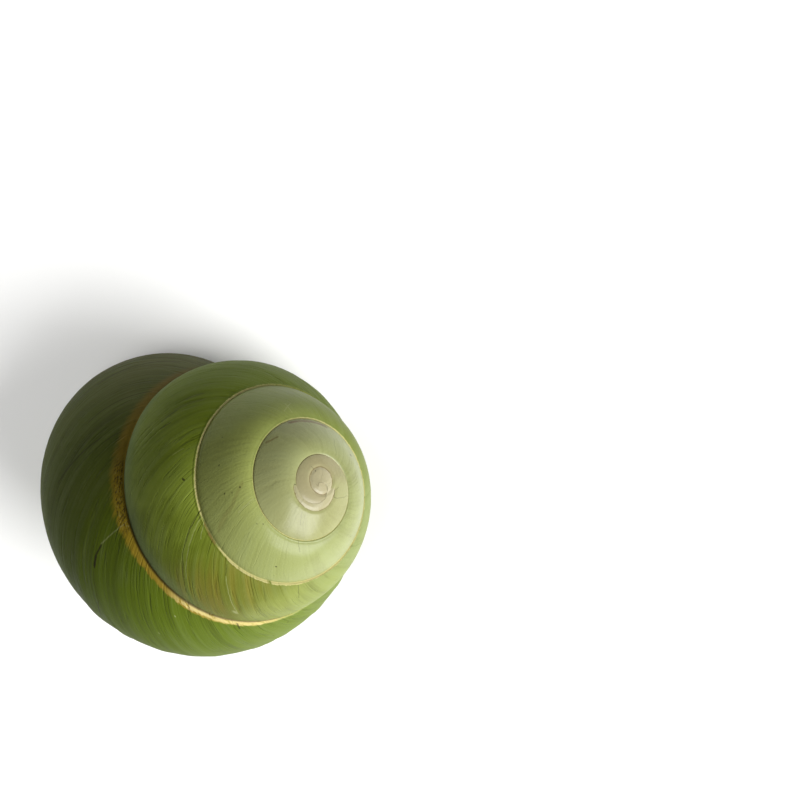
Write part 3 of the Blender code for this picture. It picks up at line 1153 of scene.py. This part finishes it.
class Effects:
    """Shader node groups that the finishes share."""

    def __init__(self) -> None:
        """Builds each group once."""
        self.striae = self.make_striae()
        self.line = self.make_line()
        self.cloud = self.make_cloud()

    @staticmethod
    def make_striae() -> bpy.types.NodeTree:
        """Fine growth lines: noise drawn out across the whorl.

        Returns:
            The node group.
        """
        inputs = {"Along": 0.0, "Down": 0.0, "Length": 0.5, "Reach": 12.0, "Wobble": 0.3}
        s = Sheet.group("ShaderNodeTree", "growth lines", inputs, ("Fine", "Broad", "Crease"))
        wobble = s.noise(s["Along"] / 6.0, s["Down"] / 3.0, Seed.CLOUD, 2.0) * s["Wobble"]
        along = s["Along"] + wobble
        fine = s.noise(along / s["Length"], s["Down"] / s["Reach"], Seed.STRIA, 3.0, 0.65)
        broad = s.noise(along / s["Length"] / 4.0, s["Down"] / s["Reach"] / 2.0, Seed.STREAK, 3.0, 0.6)
        drawn = s.noise(along / s["Length"] / 2.6, s["Down"] / s["Reach"], Seed.REST, 1.0)
        parts = s.noise(s["Along"] / 1.3, s["Down"] / 3.2, Seed.BLOOM, 2.0)
        thin = s.falling(s.math("ABSOLUTE", drawn - 0.5), 0.01, 0.045)
        s.give(Fine=fine, Broad=broad, Crease=thin * s.rising(parts, 0.46, 0.60))
        return s.tree

    @staticmethod
    def make_line() -> bpy.types.NodeTree:
        """A mask along a straight mark between two places, all in mm on one of the maps.

        Returns:
            The node group.
        """
        names = ("X", "Y", "X 1", "Y 1", "X 2", "Y 2", "Width", "Strength")
        s = Sheet.group("ShaderNodeTree", "mark", {name: 1.0 for name in names}, ("Mask",))
        ax, ay = s["X"] - s["X 1"], s["Y"] - s["Y 1"]
        bx, by = s["X 2"] - s["X 1"], s["Y 2"] - s["Y 1"]
        share = s.held((ax * bx + ay * by) / s.most(bx * bx + by * by, 1e-6))
        dx, dy = ax - bx * share, ay - by * share
        gap = s.math("SQRT", dx * dx + dy * dy)
        s.give(Mask=s.falling(gap, s["Width"] * 0.35, s["Width"]) * s["Strength"])
        return s.tree

    @staticmethod
    def make_cloud() -> bpy.types.NodeTree:
        """Soft blotches and fine grain on Object coordinates.

        Returns:
            The node group.
        """
        s = Sheet.group("ShaderNodeTree", "cloud", {"Size": 6.0}, ("Soft", "Grain"))
        split = s.node("ShaderNodeSeparateXYZ")
        s.put(s.node("ShaderNodeTexCoord").outputs["Object"], split.inputs[0])
        x, y, z = (Num(s, socket) * 1000.0 for socket in split.outputs)
        results = []
        for size, detail in ((s["Size"], 3.0), (s["Size"] / 24.0, 2.0)):
            made = s.node("ShaderNodeTexNoise")
            s.put(s.vector(x / size, y / size, z / size), made.inputs["Vector"])
            made.inputs["Scale"].default_value = 1.0
            made.inputs["Detail"].default_value = detail
            results.append(Num(s, made.outputs[0]))
        s.give(Soft=results[0], Grain=results[1])
        return s.tree


class Look(Enum):
    """What a mark of wear does to the skin."""

    CRACK = "crack"
    SCRATCH = "scratch"
    STAIN = "stain"


@dataclass(frozen=True)
class Mark:
    """A mark of wear: its half width in mm, its strength, and its places, joined by lines.

    A place is a turn and a t or, on the first whorls, mm from the coiling axis in plan.
    """

    look: Look
    width: float
    strength: float
    places: tuple[tuple[float, float], ...]
    in_plan: bool = False


WEAR: tuple[Mark, ...] = (
    Mark(Look.SCRATCH, 0.12, 0.26, ((3.945, 0.03), (3.929, 0.19))),
    Mark(Look.CRACK, 0.17, 0.85, ((3.928, 0.19), (3.920, 0.24))),
    Mark(Look.CRACK, 0.28, 0.95, ((3.918, 0.25), (3.909, 0.29))),
    Mark(Look.CRACK, 0.10, 0.55, ((3.903, 0.32), (3.873, 0.44), (3.845, 0.65))),
    Mark(Look.CRACK, 0.11, 0.75, ((2.945, 0.00), (2.908, 0.28))),
    Mark(Look.CRACK, 0.09, 0.50, ((2.908, 0.28), (2.885, 0.46))),
    Mark(Look.CRACK, 0.11, 0.70, ((2.885, 0.46), (2.865, 0.60), (2.843, 0.77))),
    Mark(Look.SCRATCH, 0.11, 0.32, ((2.934, 0.02), (2.862, 0.58))),
    Mark(Look.SCRATCH, 0.10, 0.40, ((2.925, 0.01), (2.905, 0.11))),
    Mark(Look.SCRATCH, 0.11, 0.35, ((2.836, 0.18), (2.778, 0.64))),
    Mark(Look.SCRATCH, 0.55, 0.45, ((2.779, 0.66),)),
    Mark(Look.CRACK, 0.09, 0.50, ((2.850, 0.06), (2.838, 0.17))),
    Mark(Look.CRACK, 0.09, 0.38, ((2.717, 0.04), (2.707, 0.26))),
    Mark(Look.SCRATCH, 0.10, 0.22, ((3.025, 0.25), (3.037, 0.15))),
    Mark(Look.SCRATCH, 0.09, 0.22, ((2.205, 0.32), (2.208, 0.11))),
    Mark(Look.SCRATCH, 0.09, 0.20, ((2.216, 0.30), (2.192, 0.17))),
    Mark(Look.SCRATCH, 0.11, 0.30, ((1.950, 0.05), (1.928, 0.38))),
    Mark(Look.STAIN, 0.40, 0.22, ((1.985, 0.20), (1.945, 0.43), (1.908, 0.83))),
    Mark(Look.CRACK, 0.17, 0.60, ((4.113, 0.353), (4.188, 0.113))),
    Mark(Look.CRACK, 0.14, 0.42, ((4.120, 0.03), (4.062, 0.25))),
    Mark(Look.CRACK, 0.15, 0.48, ((4.044, 0.15), (3.996, 0.40))),
    Mark(Look.CRACK, 0.13, 0.42, ((4.058, 0.04), (4.008, 0.27))),
    Mark(Look.CRACK, 0.24, 0.42, ((3.068, 0.49), (3.085, 0.38))),
    Mark(Look.CRACK, 0.18, 0.50, ((3.058, 0.46), (3.067, 0.38))),
    Mark(Look.CRACK, 0.18, 0.30, ((3.106, 0.35), (3.125, 0.24))),
    Mark(Look.STAIN, 0.16, 0.60, ((1.100, 0.93), (1.130, 0.80))),
    Mark(Look.STAIN, 0.42, 0.85, ((1.195, 0.93), (1.290, 0.86))),
    Mark(Look.STAIN, 0.30, 0.80, ((2.925, 0.00), (2.890, 0.01))),
    Mark(Look.CRACK, 0.10, 0.60, ((0.66, -2.12), (0.65, -2.25)), True),
    Mark(Look.CRACK, 0.08, 0.35, ((1.38, -2.71), (0.96, -2.51)), True),
    Mark(Look.CRACK, 0.08, 0.42, ((-3.07, -0.03), (-3.01, 0.98), (-3.67, 0.98)), True),
    Mark(Look.CRACK, 0.08, 0.28, ((-3.67, 0.98), (-5.08, 0.59), (-5.64, 0.24)), True),
    Mark(Look.CRACK, 0.07, 0.25, ((-3.07, -0.03), (-3.66, -0.58)), True),
    Mark(Look.CRACK, 0.08, 0.28, ((2.12, 3.85), (1.76, 5.62)), True),
    Mark(Look.CRACK, 0.07, 0.20, ((1.52, 4.08), (1.34, 5.44)), True),
    Mark(Look.CRACK, 0.08, 0.28, ((-3.24, -7.71), (-2.96, -6.64), (-3.18, -5.93), (-3.07, -5.19)), True),
    Mark(Look.CRACK, 0.08, 0.28, ((1.775, 0.01), (1.757, 0.22))),
    Mark(Look.CRACK, 0.13, 0.70, ((0.990, 0.04),)),
    Mark(Look.CRACK, 0.14, 0.85, ((2.994, 0.13), (2.992, 0.11))),
    Mark(Look.CRACK, 0.20, 0.90, ((3.047, 0.985),)),
    Mark(Look.CRACK, 0.15, 0.90, ((2.018, 0.587),)),
    Mark(Look.CRACK, 0.13, 0.70, ((2.068, 0.653),)),
    Mark(Look.CRACK, 0.18, 0.95, ((1.385, 0.58),)),
    Mark(Look.CRACK, 0.15, 0.90, ((1.787, 0.627),)),
    Mark(Look.CRACK, 0.12, 0.70, ((1.890, 0.193),)),
    Mark(Look.CRACK, 0.12, 0.70, ((1.883, 0.113),)),
    Mark(Look.CRACK, 0.15, 0.75, ((1.968, 0.52),)),
    Mark(Look.CRACK, 0.14, 0.65, ((1.968, 0.387),)),
    Mark(Look.CRACK, 0.16, 0.75, ((1.978, 0.24),)),
    Mark(Look.CRACK, 0.20, 0.70, ((3.752, 0.02), (3.745, 0.06))),
    Mark(Look.CRACK, 0.20, 0.70, ((3.677, 0.093),)),
    Mark(Look.SCRATCH, 0.16, 0.55, ((3.812, 0.31),)),
    Mark(Look.SCRATCH, 0.16, 0.55, ((3.820, 0.12),)),
)


@dataclass(frozen=True)
class SkinFinish:
    """Matt horny skin: pale and greyish on the first whorls, green later, with a gold band at the last suture."""

    effects: Effects
    law: GrowthLaw
    tones: tuple[tuple[float, Colour], ...] = (
        (-1.0, (0.36, 0.32, 0.20)),
        (0.1, (0.29, 0.26, 0.135)),
        (0.36, (0.29, 0.265, 0.135)),
        (0.46, (0.30, 0.30, 0.135)),
        (0.9, (0.29, 0.30, 0.125)),
        (1.3, (0.26, 0.28, 0.115)),
        (1.7, (0.28, 0.31, 0.12)),
        (2.0, (0.285, 0.32, 0.086)),
        (2.2, (0.19, 0.225, 0.055)),
        (2.35, (0.155, 0.19, 0.032)),
        (2.6, (0.235, 0.275, 0.105)),
        (2.72, (0.235, 0.27, 0.066)),
        (2.80, (0.135, 0.16, 0.020)),
        (2.90, (0.135, 0.175, 0.015)),
        (2.98, (0.215, 0.275, 0.035)),
        (3.08, (0.125, 0.168, 0.010)),
        (3.3, (0.110, 0.147, 0.017)),
        (3.6, (0.155, 0.205, 0.038)),
        (3.8, (0.10, 0.145, 0.009)),
        (3.92, (0.082, 0.115, 0.0075)),
        (4.05, (0.084, 0.105, 0.011)),
        (4.25, (0.090, 0.088, 0.030)),
    )
    band: tuple[tuple[float, Colour], ...] = (
        (3.2, (0.24, 0.26, 0.06)),
        (3.66, (0.26, 0.29, 0.09)),
        (3.75, (0.44, 0.37, 0.10)),
        (3.8, (0.33, 0.235, 0.035)),
        (3.87, (0.24, 0.165, 0.018)),
        (3.95, (0.37, 0.245, 0.018)),
        (4.1, (0.20, 0.13, 0.014)),
        (4.25, (0.06, 0.045, 0.012)),
    )
    first: Colour = (0.36, 0.325, 0.195)
    crumb: Colour = (0.60, 0.49, 0.19)
    thread: Colour = (0.45, 0.41, 0.17)
    ochre: Colour = (0.20, 0.165, 0.022)
    bloom: Colour = (0.33, 0.38, 0.20)
    # painted sheen: a greyer green laid along the lower edge of the penultimate whorl, where the surface turns away at
    # a grazing angle
    frost: Colour = (0.16, 0.215, 0.10)
    scratch: Colour = (0.40, 0.42, 0.20)
    stain: Colour = (0.14, 0.09, 0.025)
    # dark is used for cracks, pits and crust specks, and also for the painted shade along the sutures
    dark: Colour = (0.025, 0.022, 0.008)
    hollow_tint: Colour = (0.45, 0.42, 0.30)
    crease_tint: Colour = (0.40, 0.38, 0.28)
    line_spacing: float = 0.42
    line_reach: float = 14.0
    line_wobble: float = 0.5
    cloud_size: float = 7.0
    satin: float = 0.30
    matt: float = 0.56
    gloss: float = 0.07
    coat: float = 0.38
    coat_roughness: float = 0.24
    late_turns: tuple[float, float] = (2.0, 3.2)
    matt_turns: tuple[float, float] = (1.0, 2.8)
    coat_turns: tuple[float, float] = (1.2, 2.8)
    ochre_turns: tuple[float, float] = (2.80, 2.84)
    frost_turns: tuple[float, float] = (2.88, 3.25)
    band_from: tuple[float, float] = (3.15, 3.3)
    band_wide: tuple[float, float] = (3.55, 3.80)
    band_old: tuple[float, float] = (3.87, 3.96)
    band_narrow: tuple[float, float] = (3.98, 4.12)
    crumb_turns: tuple[float, float] = (3.73, 3.81)
    shadow_turns: tuple[float, float] = (3.70, 3.93)
    crust_turns: tuple[float, float] = (3.945, 4.01)
    crust_down: tuple[float, float] = (0.25, 1.2)
    thread_from: tuple[float, float] = (1.15, 1.4)
    thread_strong: tuple[float, float] = (2.0, 2.45)
    thread_wide: tuple[float, float] = (2.2, 2.7)
    thread_swollen: tuple[float, float] = (2.72, 2.84)
    thread_chipped: tuple[float, float] = (2.885, 2.93)
    thread_to: tuple[float, float] = (3.15, 3.3)
    stained_turns: tuple[float, float] = (0.98, 1.3)
    deep_shade_turns: tuple[float, float] = (2.70, 3.02)
    foot_shade_turns: tuple[float, float] = (2.35, 3.15)
    pit_spacing: float = 2.3
    pit_rarity: float = 0.84
    pit_edge: tuple[float, float] = (0.02, 0.055)
    pit_strength: float = 0.5
    relief_shown: float = 0.8
    relief_depth: float = 0.12 * MM

    def build(self) -> bpy.types.Material:
        """Writes the material.

        Returns:
            The material.
        """
        s = MaterialSheet("green_skin")
        turn, t = s.pair("growth")
        along, down = s.pair("reach")
        plan = s.pair("plan")
        lines = s.call(
            self.effects.striae, Along=along, Down=down,
            Length=self.line_spacing, Reach=self.line_reach, Wobble=self.line_wobble,
        )
        cloud = s.call(self.effects.cloud, Size=self.cloud_size)
        fine, broad, crease = lines["Fine"], lines["Broad"], lines["Crease"]
        soft, grain = cloud["Soft"], cloud["Grain"]
        up = (1.0 - t) * down / s.most(t, 0.02)
        late = s.rising(turn, *self.late_turns)
        outside = s.falling(t, 1.0, 1.001)

        colour = s.ramp(turn + (soft - 0.5) * 0.2 * s.rising(turn, 1.2, 1.8), self.tones, -1.0, 4.25)
        shade = (broad - 0.5) * (late * 0.6 + 0.35) + (fine - 0.5) * (late * 0.45 + 0.3) + (soft - 0.5) * 0.55
        shade = shade + (grain - 0.5) * (1.0 - late) * 0.22
        colour = s.blend(colour, self.hollow_tint, s.held(-shade * 1.6), "MULTIPLY")
        colour = s.blend(colour, self.bloom, s.held(shade * 0.8) * (1.0 - late * 0.5))
        crease = crease * (late * 0.6 + 0.2)
        colour = s.blend(colour, self.crease_tint, crease * 0.22, "MULTIPLY")

        streaks = s.noise(along / 1.1, down / 14.0, Seed.OCHRE, 4.0)
        ochre = s.within(turn, *self.ochre_turns, 0.06) * s.rising(streaks, 0.30, 0.72)
        colour = s.blend(colour, self.ochre, ochre * 0.62)
        # Painted sheen: a greyer green along the lower edge of the penultimate whorl, next to the seam, where the
        # surface turns away at a grazing angle.
        frost = s.rising(up, 4.5, 0.5) * s.within(turn, *self.frost_turns, 0.12) * outside
        colour = s.blend(colour, self.frost, frost * 0.6)

        colour = self.banded(s, colour, turn, along, down, fine)
        colour = self.threaded(s, colour, turn, along, down, up, outside)

        colour = self.ringed(s, colour, turn, t, plan)
        wear = self.worn(s, (along, down), plan)
        colour = s.blend(colour, self.stain, wear[Look.STAIN] * s.held(fine * 2.0 - 0.1))
        colour = s.blend(colour, self.scratch, wear[Look.SCRATCH])
        colour = s.blend(colour, self.dark, wear[Look.CRACK])
        specks = self.pitted(s, along, down)
        colour = s.blend(colour, self.dark, specks * self.pit_strength)

        s.put(colour, s.surface.inputs["Base Color"])
        rough = s.between(self.satin, self.matt, s.rising(turn, *self.matt_turns))
        s.put(rough + (soft - 0.5) * 0.25 + (fine - 0.5) * 0.2, s.surface.inputs["Roughness"])
        s.surface.inputs["Specular IOR Level"].default_value = self.gloss
        s.surface.inputs["Coat Roughness"].default_value = self.coat_roughness
        s.put(s.falling(turn, *self.coat_turns) * self.coat, s.surface.inputs["Coat Weight"])
        height = fine * (late * 0.25 + 0.55) + broad * late * 0.9 + grain * (0.28 - late * 0.1) - crease * 0.7
        s.put(s.bump(height, self.relief_shown, self.relief_depth), s.surface.inputs["Normal"])
        return s.material

    def banded(self, s: MaterialSheet, colour: object, turn: Num, along: Num, down: Num,
               fine: Num) -> bpy.types.NodeSocket:
        """Lays the gold and rust band along the last suture.

        Args:
            s: The material being written.
            colour: The skin's colour.
            turn: Turn of the place.
            along: Millimetres along the coil.
            down: Millimetres below the suture.
            fine: Fine growth lines.

        Returns:
            The colour with the band.
        """
        ragged = s.noise(along / 0.9, down / 1.2, Seed.BAND, 4.0, 0.65)
        old = s.rising(turn, *self.band_old)
        width = s.between(s.between(0.12, 0.78, s.rising(turn, *self.band_wide)), 1.0, old)
        width = width - s.rising(turn, *self.band_narrow) * 0.5
        edge = width * (ragged * 1.4 + 0.3)
        band = s.falling(down, edge - 0.05, edge + 0.25 + old * (fine * 2.0)) * s.rising(turn, *self.band_from)
        colour = s.blend(colour, s.ramp(turn + (fine - 0.5) * 0.12, self.band, 3.2, 4.25), band * (1.0 - old * 0.25))
        blocks = s.noise(along / 0.9, down / 0.5, Seed.THREAD, 2.0, 0.6)
        crumb = s.falling(down, blocks * 1.3 - 0.16, blocks * 1.3 + 0.14)
        crumb = crumb * s.within(turn, *self.crumb_turns, 0.05)
        colour = s.blend(colour, self.crumb, crumb * s.rising(blocks, 0.30, 0.50))
        shadow = s.falling(down, 0.05, 0.28) * s.within(turn, *self.shadow_turns, 0.07)
        colour = s.blend(colour, self.dark, shadow * 0.75)
        crust = s.noise(along / 0.45, down / 0.30, Seed.PIT, 4.0, 0.7)
        place = s.within(turn, *self.crust_turns, 0.02) * s.within(down, *self.crust_down, 0.25)
        colour = s.blend(colour, self.dark, s.rising(crust, 0.50, 0.58) * place * 0.75)
        return s.blend(colour, self.scratch, s.falling(crust, 0.36, 0.40) * place * 0.5)

    def threaded(self, s: MaterialSheet, colour: object, turn: Num, along: Num, down: Num, up: Num,
                 outside: Num) -> bpy.types.NodeSocket:
        """Lays the pale thread below the suture and a thin line of painted shade above it, along the foot of the whorl.

        Args:
            s: The material being written.
            colour: The skin's colour.
            turn: Turn of the place.
            along: Millimetres along the coil.
            down: Millimetres below the suture.
            up: Millimetres above the next suture.
            outside: Is 1 above the seam.

        Returns:
            The colour with the thread.
        """
        beads = s.noise(along / 0.5, down / 0.4, Seed.THREAD, 3.0, 0.6)
        wide = s.between(0.08, 0.13, s.rising(turn, *self.thread_wide))
        wide = wide + s.within(turn, *self.thread_swollen, 0.03) * 0.16
        wide = wide * (beads * 2.2 - 0.1)
        thread = s.falling(down, wide, wide + 0.12)
        thread = thread * s.rising(turn, *self.thread_from) * s.falling(turn, *self.thread_to)
        gaps = s.rising(s.noise(along / 1.3, 0.0, Seed.RIPPLE, 3.0), 0.28, 0.40)
        chipped = 1.0 - s.within(turn, *self.thread_chipped, 0.01) * 0.75
        thread = thread * gaps * chipped * s.between(0.70, 0.95, s.rising(turn, *self.thread_strong))
        colour = s.blend(colour, self.thread, thread)
        first = s.falling(down, 0.04, 0.13) * s.within(turn, *self.stained_turns, 0.06) * outside
        colour = s.blend(colour, self.stain, first * (beads * 0.9 + 0.2))
        # Painted shade: a dark line along the foot of the whorl, where it turns in to the suture below; wider on the
        # penultimate whorl.
        deep = s.within(turn, *self.deep_shade_turns, 0.08)
        foot = s.falling(up, 0.10 + deep * 0.1, 0.36 + deep * 0.6)
        foot = foot * s.within(turn, *self.foot_shade_turns, 0.15) * outside
        return s.blend(colour, self.dark, foot * (beads * 0.8 + 0.2))

    def ringed(self, s: MaterialSheet, colour: object, turn: Num, t: Num,
               plan: tuple[Num, Num]) -> bpy.types.NodeSocket:
        """Tints the first whorls and draws the fine lines that bound them.

        Args:
            s: The material being written.
            colour: The skin's colour.
            turn: Turn of the place.
            t: Place across the whorl.
            plan: Millimetres from the coiling axis in plan.

        Returns:
            The colour with the lines.
        """
        breaks = s.noise(plan[0] / 0.6, plan[1] / 0.6, Seed.RIPPLE, 2.0)
        for (x, y, radius), turns in APEX_RINGS:
            dx, dy = plan[0] - x, plan[1] - y
            away = s.math("SQRT", dx * dx + dy * dy) + (breaks - 0.5) * 0.3
            place = s.within(turn, *turns, 0.03) * s.falling(t, 0.9, 1.0)
            colour = s.blend(colour, self.first, s.falling(away, radius - 0.1, radius) * place * 0.8)
            line = s.falling(s.math("ABSOLUTE", away - radius), 0.03, 0.12) * place
            colour = s.blend(colour, self.stain, line * (breaks * 1.4 - 0.2))
        return colour

    def worn(self, s: MaterialSheet, reach: tuple[Num, Num], plan: tuple[Num, Num]) -> dict[Look, Value]:
        """Masks of the marks of wear.

        Args:
            s: The material being written.
            reach: Millimetres along the coil and below the suture.
            plan: Millimetres from the coiling axis in plan.

        Returns:
            The mask of each look.
        """
        maps = []
        for x, y in (reach, plan):
            ragged = s.noise(x / 0.7, y / 0.7, Seed.PIT, 3.0) - 0.5
            maps.append((x + ragged * 0.35, y + ragged * 0.2))
        masks: dict[Look, Value] = {look: 0.0 for look in Look}
        for mark in WEAR:
            x, y = maps[mark.in_plan]
            spots = list(mark.places) if mark.in_plan else [self.law.reach(*place) for place in mark.places]
            for (x1, y1), (x2, y2) in zip(spots, spots[1:] or spots):
                made = s.call(
                    self.effects.line, X=x, Y=y, X_1=x1, Y_1=y1, X_2=x2, Y_2=y2,
                    Width=mark.width, Strength=mark.strength,
                )
                masks[mark.look] = s.most(made["Mask"], masks[mark.look])
        return masks

    def pitted(self, s: MaterialSheet, along: Num, down: Num) -> Num:
        """Mask of small scattered pits.

        Args:
            s: The material being written.
            along: Millimetres along the coil.
            down: Millimetres below the suture.

        Returns:
            The mask.
        """
        made = s.node("ShaderNodeTexVoronoi", feature="F1")
        s.put(s.vector(along / self.pit_spacing, down / self.pit_spacing, Seed.PIT.value), made.inputs["Vector"])
        made.inputs["Scale"].default_value = 1.0
        made.inputs["Randomness"].default_value = 1.0
        split = s.node("ShaderNodeSeparateColor")
        s.put(made.outputs["Color"], split.inputs[0])
        chosen = s.math("GREATER_THAN", Num(s, split.outputs[0]), self.pit_rarity)
        return s.falling(Num(s, made.outputs["Distance"]), *self.pit_edge) * chosen


@dataclass(frozen=True)
class MouthFinish:
    """Smooth pale lime inside the mouth, with a thin edge of the skin on the lip."""

    effects: Effects
    lime: Colour = (0.62, 0.60, 0.50)
    deep: Colour = (0.40, 0.42, 0.26)
    edge: Colour = (0.20, 0.19, 0.08)
    roughness: float = 0.28
    lip_lean: float = 0.17
    rim_turns: tuple[float, float] = (4.226, 4.244)

    def build(self) -> bpy.types.Material:
        """Writes the material.

        Returns:
            The material.
        """
        s = MaterialSheet("mouth_lime")
        turn, raised = s.pair("growth")
        t = raised - Place.INSIDE.value
        along, down = s.pair("reach")
        lines = s.call(self.effects.striae, Along=along, Down=down, Length=1.6, Reach=20.0, Wobble=0.8)
        cloud = s.call(self.effects.cloud, Size=9.0)
        growth = turn + t * self.lip_lean
        colour = s.blend(self.deep, self.lime, s.rising(growth, 2.8, 4.1))
        colour = s.blend(colour, self.deep, s.held((lines["Broad"] - 0.5) * 2.0) * 0.6)
        rim = s.rising(growth, *self.rim_turns) * s.falling(t, 2.2, 2.5)
        colour = s.blend(colour, self.edge, rim)
        s.put(colour, s.surface.inputs["Base Color"])
        s.put(self.roughness + (cloud["Soft"] - 0.5) * 0.2 + rim * 0.25, s.surface.inputs["Roughness"])
        s.put(s.bump(lines["Broad"] + cloud["Grain"] * 0.1, 0.5, 0.08 * MM), s.surface.inputs["Normal"])
        return s.material


@dataclass(frozen=True)
class Studio:
    """Plain pale floor, a soft key light, a fill for the floor alone, and the camera at the photograph's angle."""

    floor_size: float = 3.0
    floor_tone: Colour = (0.82, 0.82, 0.81)
    floor_roughness: float = 0.8
    floor_gloss: float = 0.2
    sky_tone: Colour = (1.0, 0.99, 0.97)
    sky_strength: float = 0.11
    eye: tuple[float, float, float] = (43.07 * MM, 47.58 * MM, 280.15 * MM)
    back: tuple[float, float, float] = (0.03934, 0.16968, 0.98452)
    up: tuple[float, float, float] = (0.41319, 0.89448, -0.17054)
    lens: float = 80.0
    sensor: float = 36.0
    near: float = 0.01
    far: float = 10.0
    key_from: tuple[float, float, float] = (0.545, -0.676, 0.704)
    key_power: float = 9.0
    key_size: float = 0.5
    fill_from: tuple[float, float, float] = (-0.50, 0.42, 0.76)
    fill_power: float = 5.5
    fill_size: float = 0.9
    lamp_distance: float = 0.7

    def floor(self) -> bpy.types.Object:
        """A wide flat floor at the height that the shell rests on.

        Returns:
            The floor.
        """
        half = self.floor_size / 2
        mesh = bpy.data.meshes.new("floor")
        corners = [(-half, -half, 0.0), (half, -half, 0.0), (half, half, 0.0), (-half, half, 0.0)]
        mesh.from_pydata(corners, [], [(0, 1, 2, 3)])
        material = bpy.data.materials.new("floor")
        material.use_nodes = True
        surface = material.node_tree.nodes["Principled BSDF"]
        surface.inputs["Base Color"].default_value = (*self.floor_tone, 1.0)
        surface.inputs["Roughness"].default_value = self.floor_roughness
        surface.inputs["Specular IOR Level"].default_value = self.floor_gloss
        mesh.materials.append(material)
        floor = bpy.data.objects.new("floor", mesh)
        bpy.context.scene.collection.objects.link(floor)
        return floor

    def sky(self) -> None:
        """Even light from all round."""
        world = bpy.data.worlds.new("studio")
        world.use_nodes = True
        background = world.node_tree.nodes["Background"]
        background.inputs["Color"].default_value = (*self.sky_tone, 1.0)
        background.inputs["Strength"].default_value = self.sky_strength
        bpy.context.scene.world = world

    def lamp(self, name: str, way: tuple[float, float, float], power: float, size: float) -> bpy.types.Object:
        """A square soft lamp that faces the shell.

        Args:
            name: Name of the lamp.
            way: Direction from the shell to the lamp.
            power: Watts.
            size: Metres along a side.

        Returns:
            The lamp.
        """
        data = bpy.data.lights.new(name, "AREA")
        data.energy = power
        data.size = size
        lamp = bpy.data.objects.new(name, data)
        direction = Vector(way).normalized()
        lamp.location = direction * self.lamp_distance
        lamp.rotation_mode = "QUATERNION"
        lamp.rotation_quaternion = direction.to_track_quat("Z", "Y")
        bpy.context.scene.collection.objects.link(lamp)
        return lamp

    def camera(self) -> bpy.types.Object:
        """The camera at the photograph's angle.

        Returns:
            The camera.
        """
        data = bpy.data.cameras.new("camera")
        data.lens = self.lens
        data.sensor_width = self.sensor
        data.clip_start = self.near
        data.clip_end = self.far
        camera = bpy.data.objects.new("camera", data)
        back, up = Vector(self.back).normalized(), Vector(self.up)
        right = up.cross(back).normalized()
        up = back.cross(right)
        turn = Matrix((right, up, back)).transposed().to_4x4()
        camera.matrix_world = Matrix.Translation(Vector(self.eye)) @ turn
        bpy.context.scene.collection.objects.link(camera)
        bpy.context.scene.camera = camera
        return camera

    def build(self) -> bpy.types.Object:
        """Sets up the floor, the light and the camera.

        Returns:
            The floor.
        """
        self.sky()
        self.lamp("key", self.key_from, self.key_power, self.key_size)
        floor = self.floor()
        lit = bpy.data.collections.new("lit by fill")
        lit.objects.link(floor)
        fill = self.lamp("fill", self.fill_from, self.fill_power, self.fill_size)
        fill.light_linking.receiver_collection = lit
        self.camera()
        scene = bpy.context.scene
        scene.view_settings.view_transform = "Standard"
        scene.view_settings.look = "None"
        return floor


def main() -> None:
    """Grows the shell, dresses it and sets up the studio."""
    logging.basicConfig(level=logging.INFO, format="%(name)s: %(message)s")
    effects = Effects()
    skin = SkinFinish(effects, GrowthLaw()).build()
    inside = MouthFinish(effects).build()
    facets = Facets()
    shell = ShellForm(facets=facets).build(skin, inside)
    LOG.info("%s: %d faces", shell.name, len(shell.data.polygons))
    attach(shell, "root")
    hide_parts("shell")
    floor = Studio().build()
    LOG.info("floor and lights are set")


if __name__ == "__main__":
    main()
